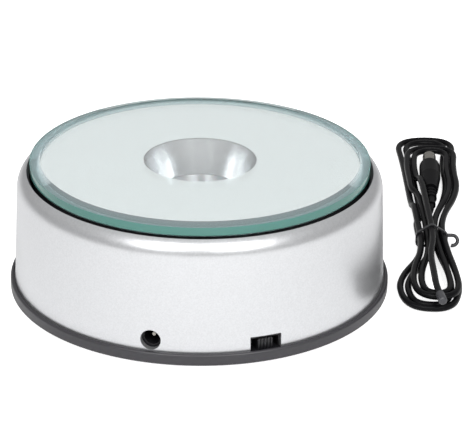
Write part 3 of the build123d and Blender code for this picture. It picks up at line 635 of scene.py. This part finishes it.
class DISPLAYBASE_OT_springs(bpy.types.Operator):
    """Coils the three cone springs of the battery bay with a node tree"""

    bl_idname = "displaybase.springs"
    bl_label = "Coil the battery springs"

    def execute(self, context):
        own = context.scene.display_base_springs
        tree = bpy.data.node_groups.new("battery_springs", "GeometryNodeTree")
        face = tree.interface
        face.new_socket("Geometry", in_out="INPUT", socket_type="NodeSocketGeometry")
        sizes = ("Turns", "Wire", "Foot radius", "Tip radius", "Length", "Row step")
        for name in sizes:
            face.new_socket(name, in_out="INPUT", socket_type="NodeSocketFloat")
        face.new_socket("Rows", in_out="INPUT", socket_type="NodeSocketInt")
        face.new_socket("Finish", in_out="INPUT", socket_type="NodeSocketMaterial")
        face.new_socket("Geometry", in_out="OUTPUT", socket_type="NodeSocketGeometry")
        given = add(tree, "NodeGroupInput").outputs
        halve = add(tree, "ShaderNodeMath", [(0, given["Wire"])], operation="MULTIPLY")
        halve.inputs[1].default_value = 0.5
        coil = add(
            tree, "GeometryNodeCurveSpiral",
            [("Rotations", given["Turns"]), ("Start Radius", given["Foot radius"]),
             ("End Radius", given["Tip radius"]), ("Height", given["Length"])],
            i_Resolution=20,
        )
        section = add(
            tree, "GeometryNodeCurvePrimitiveCircle", [("Radius", halve.outputs[0])], i_Resolution=8
        )
        wire = add(
            tree, "GeometryNodeCurveToMesh",
            [("Curve", coil.outputs["Curve"]), ("Profile Curve", section.outputs["Curve"])],
            i_Fill_Caps=True,
        )
        offset = add(tree, "ShaderNodeCombineXYZ", [("Y", given["Row step"])])
        rows = add(
            tree, "GeometryNodeMeshLine", [("Count", given["Rows"]), ("Offset", offset.outputs["Vector"])]
        )
        copies = add(
            tree, "GeometryNodeInstanceOnPoints",
            [("Points", rows.outputs["Mesh"]), ("Instance", wire.outputs["Mesh"])],
        )
        copies.inputs["Rotation"].default_value = Euler((0, math.pi / 2, 0))
        real = add(tree, "GeometryNodeRealizeInstances", [("Geometry", copies.outputs["Instances"])])
        dressed = add(
            tree, "GeometryNodeSetMaterial",
            [("Geometry", real.outputs["Geometry"]), ("Material", given["Finish"])],
        )
        add(tree, "NodeGroupOutput", [("Geometry", dressed.outputs["Geometry"])])

        maker = bpy.data.objects.new("spring_maker", bpy.data.meshes.new("spring_maker"))
        context.scene.collection.objects.link(maker)
        modifier = maker.modifiers.new("coil", "NODES")
        modifier.node_group = tree
        low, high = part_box("battery_contacts")
        row_step = (high.y - low.y - CONTACT_WIDTH * MM) / (CONTACT_ROWS - 1)
        values = (own.turns, own.wire, own.foot, own.tip, own.length, row_step, CONTACT_ROWS)
        names = sizes + ("Rows",)
        inputs = [item for item in tree.interface.items_tree if item.in_out == "INPUT"]
        idents = {item.name: item.identifier for item in inputs}
        for name, value in zip(names, values):
            modifier[idents[name]] = value
        modifier[idents["Finish"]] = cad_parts["battery_contacts"].material_slots[0].material
        context.view_layer.update()
        worked_out = maker.evaluated_get(context.evaluated_depsgraph_get())
        mesh = bpy.data.meshes.new_from_object(worked_out)
        bpy.data.objects.remove(maker)
        row_y = low.y + CONTACT_WIDTH / 2 * MM
        first = Vector((low.x + SPRING_SEAT * MM, row_y, (low.z + high.z) / 2))
        mesh.transform(Matrix.Translation(first))
        springs = bpy.data.objects.new("battery_springs", mesh)
        context.scene.collection.objects.link(springs)
        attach(springs, "root")
        return {"FINISHED"}


class DISPLAYBASE_OT_stage(bpy.types.Operator):
    """Sets up the pale floor, the soft lamps and the camera"""

    bl_idname = "displaybase.stage"
    bl_label = "Set up the stage"

    def execute(self, context):
        own = context.scene.display_base_stage
        self.floor(context, own)
        self.world(context)
        self.lamps(context, own)
        self.camera(context)
        view = context.scene.view_settings
        view.view_transform = "Standard"
        return {"FINISHED"}

    def floor(self, context, own):
        mesh = bpy.data.meshes.new("studio_floor")
        half = FLOOR_HALF
        corners = [(-half, -half, 0), (half, -half, 0), (half, half, 0), (-half, half, 0)]
        mesh.from_pydata(corners, [], [(0, 1, 2, 3)])
        floor = bpy.data.objects.new("studio_floor", mesh)
        context.scene.collection.objects.link(floor)
        # Pale studio paper: matt, and lifted to white where the camera sees it.
        material, tree, shader, coords = new_material(
            "studio_paper", Base_Color=own.floor_colour, Roughness=0.9
        )
        path = add(tree, "ShaderNodeLightPath")
        seen = add(tree, "ShaderNodeMath", [(0, path.outputs["Is Camera Ray"])], operation="MULTIPLY")
        seen.inputs[1].default_value = FLOOR_SEEN
        shone = add(tree, "ShaderNodeMath", [(0, path.outputs["Is Glossy Ray"])], operation="MULTIPLY")
        shone.inputs[1].default_value = FLOOR_IN_GLOSS
        lift = add(tree, "ShaderNodeMath", [(0, seen.outputs[0]), (1, shone.outputs[0])], operation="ADD")
        glow = add(tree, "ShaderNodeEmission", [("Strength", lift.outputs[0])], i_Color=(1, 1, 1, 1))
        both = add(tree, "ShaderNodeAddShader")
        tree.links.new(shader.outputs["BSDF"], both.inputs[0])
        tree.links.new(glow.outputs["Emission"], both.inputs[1])
        output = next(n for n in tree.nodes if n.type == "OUTPUT_MATERIAL")
        tree.links.new(both.outputs["Shader"], output.inputs["Surface"])
        floor.data.materials.append(material)

    def world(self, context):
        world = bpy.data.worlds.new("studio_white")
        context.scene.world = world
        world.use_nodes = True
        tree = world.node_tree
        tree.nodes.clear()
        # A white tent that is brighter overhead than at its sides.
        way = add(tree, "ShaderNodeTexCoord")
        split = add(tree, "ShaderNodeSeparateXYZ", [("Vector", way.outputs["Generated"])])
        soft = add(
            tree, "ShaderNodeMapRange", [("Value", split.outputs["Z"])],
            i_From_Min=0.0, i_From_Max=0.9, i_To_Min=TENT_LOW, i_To_Max=TENT_HIGH,
        )
        path = add(tree, "ShaderNodeLightPath")
        seen = add(
            tree, "ShaderNodeMath",
            [(0, path.outputs["Is Camera Ray"]), (1, path.outputs["Is Transmission Ray"])],
            operation="MAXIMUM",
        )
        level = add(
            tree, "ShaderNodeMix", [("Factor", seen.outputs[0]), (2, soft.outputs["Result"])],
            data_type="FLOAT",
        )
        level.inputs[3].default_value = 1.0
        glow = add(tree, "ShaderNodeBackground", [("Strength", level.outputs[0])], i_Color=(1, 1, 1, 1))
        add(tree, "ShaderNodeOutputWorld", [("Surface", glow.outputs["Background"])])

    def lamps(self, context, own):
        for name, place, size, share in LAMPS:
            data = bpy.data.lights.new(name, "AREA")
            data.energy = own.lamp_power * share
            data.shape = "RECTANGLE"
            data.size, data.size_y = size
            lamp = bpy.data.objects.new(name, data)
            lamp.location = place
            towards = Vector(LAMP_AIM) - Vector(place)
            lamp.rotation_euler = towards.to_track_quat("-Z", "Y").to_euler()
            context.scene.collection.objects.link(lamp)

    def camera(self, context):
        data = bpy.data.cameras.new("photograph_camera")
        data.sensor_width = SENSOR_WIDTH
        data.lens = FOCAL_PIXELS * SENSOR_WIDTH / PHOTO_WIDTH
        data.clip_start = 0.05
        forward = CAMERA_DISTANCE * math.cos(CAMERA_RISE)
        above = CAMERA_DISTANCE * math.sin(CAMERA_RISE)
        place = Vector((0, -forward, above + AIM_HEIGHT))
        ahead = (Vector((0, 0, AIM_HEIGHT)) - place).normalized()
        level = Vector((1, 0, 0))
        upright = level.cross(ahead)
        right = level * math.cos(CAMERA_ROLL) + upright * math.sin(CAMERA_ROLL)
        up = upright * math.cos(CAMERA_ROLL) - level * math.sin(CAMERA_ROLL)
        # The base stands left of and below the middle of the photograph.
        across = (PHOTO_WIDTH / 2 - BASE_IN_PHOTO[0]) / FOCAL_PIXELS
        upwards = (BASE_IN_PHOTO[1] - PHOTO_HEIGHT / 2) / FOCAL_PIXELS
        ahead = (ahead + right * across + up * upwards).normalized()
        up = (up - ahead * up.dot(ahead)).normalized()
        right = ahead.cross(up)
        camera = bpy.data.objects.new("photograph_camera", data)
        turn = Matrix((right, up, -ahead)).transposed().to_4x4()
        camera.matrix_world = Matrix.Translation(place) @ turn
        context.scene.collection.objects.link(camera)
        context.scene.camera = camera


class DISPLAYBASE_PT_sidebar(bpy.types.Panel):
    bl_idname = "DISPLAYBASE_PT_sidebar"
    bl_label = "Display Base"
    bl_space_type = "VIEW_3D"
    bl_region_type = "UI"
    bl_category = "Display Base"

    def draw(self, context):
        layout = self.layout
        for group, keys in PANEL_ROWS:
            owner = getattr(context.scene, group)
            for key in keys:
                layout.prop(owner, key)
        for operator in OPERATORS:
            layout.operator(operator.bl_idname)


PANEL_ROWS = (
    ("display_base_finish", ("housing_colour", "base_colour", "silver_gap")),
    ("display_base_cord", ("diameter", "colour", "gloss")),
    ("display_base_springs", ("turns", "wire", "foot", "tip", "length")),
    ("display_base_stage", ("lamp_power", "floor_colour")),
)
GROUPS = (
    ("display_base_finish", DisplayBaseFinish),
    ("display_base_cord", DisplayBaseCord),
    ("display_base_springs", DisplayBaseSprings),
    ("display_base_stage", DisplayBaseStage),
)
OPERATORS = (
    DISPLAYBASE_OT_finishes,
    DISPLAYBASE_OT_silvering,
    DISPLAYBASE_OT_cord,
    DISPLAYBASE_OT_springs,
    DISPLAYBASE_OT_stage,
)


def register():
    for name, group in GROUPS:
        bpy.utils.register_class(group)
        setattr(bpy.types.Scene, name, bpy.props.PointerProperty(type=group))
    for operator in OPERATORS:
        bpy.utils.register_class(operator)
    bpy.utils.register_class(DISPLAYBASE_PT_sidebar)


def unregister():
    bpy.utils.unregister_class(DISPLAYBASE_PT_sidebar)
    for operator in reversed(OPERATORS):
        bpy.utils.unregister_class(operator)
    for name, group in reversed(GROUPS):
        delattr(bpy.types.Scene, name)
        bpy.utils.unregister_class(group)


def main():
    register()
    bpy.ops.displaybase.finishes()
    bpy.ops.displaybase.silvering()
    bpy.ops.displaybase.cord()
    bpy.ops.displaybase.springs()
    bpy.ops.displaybase.stage()


if __name__ == "__main__":
    main()
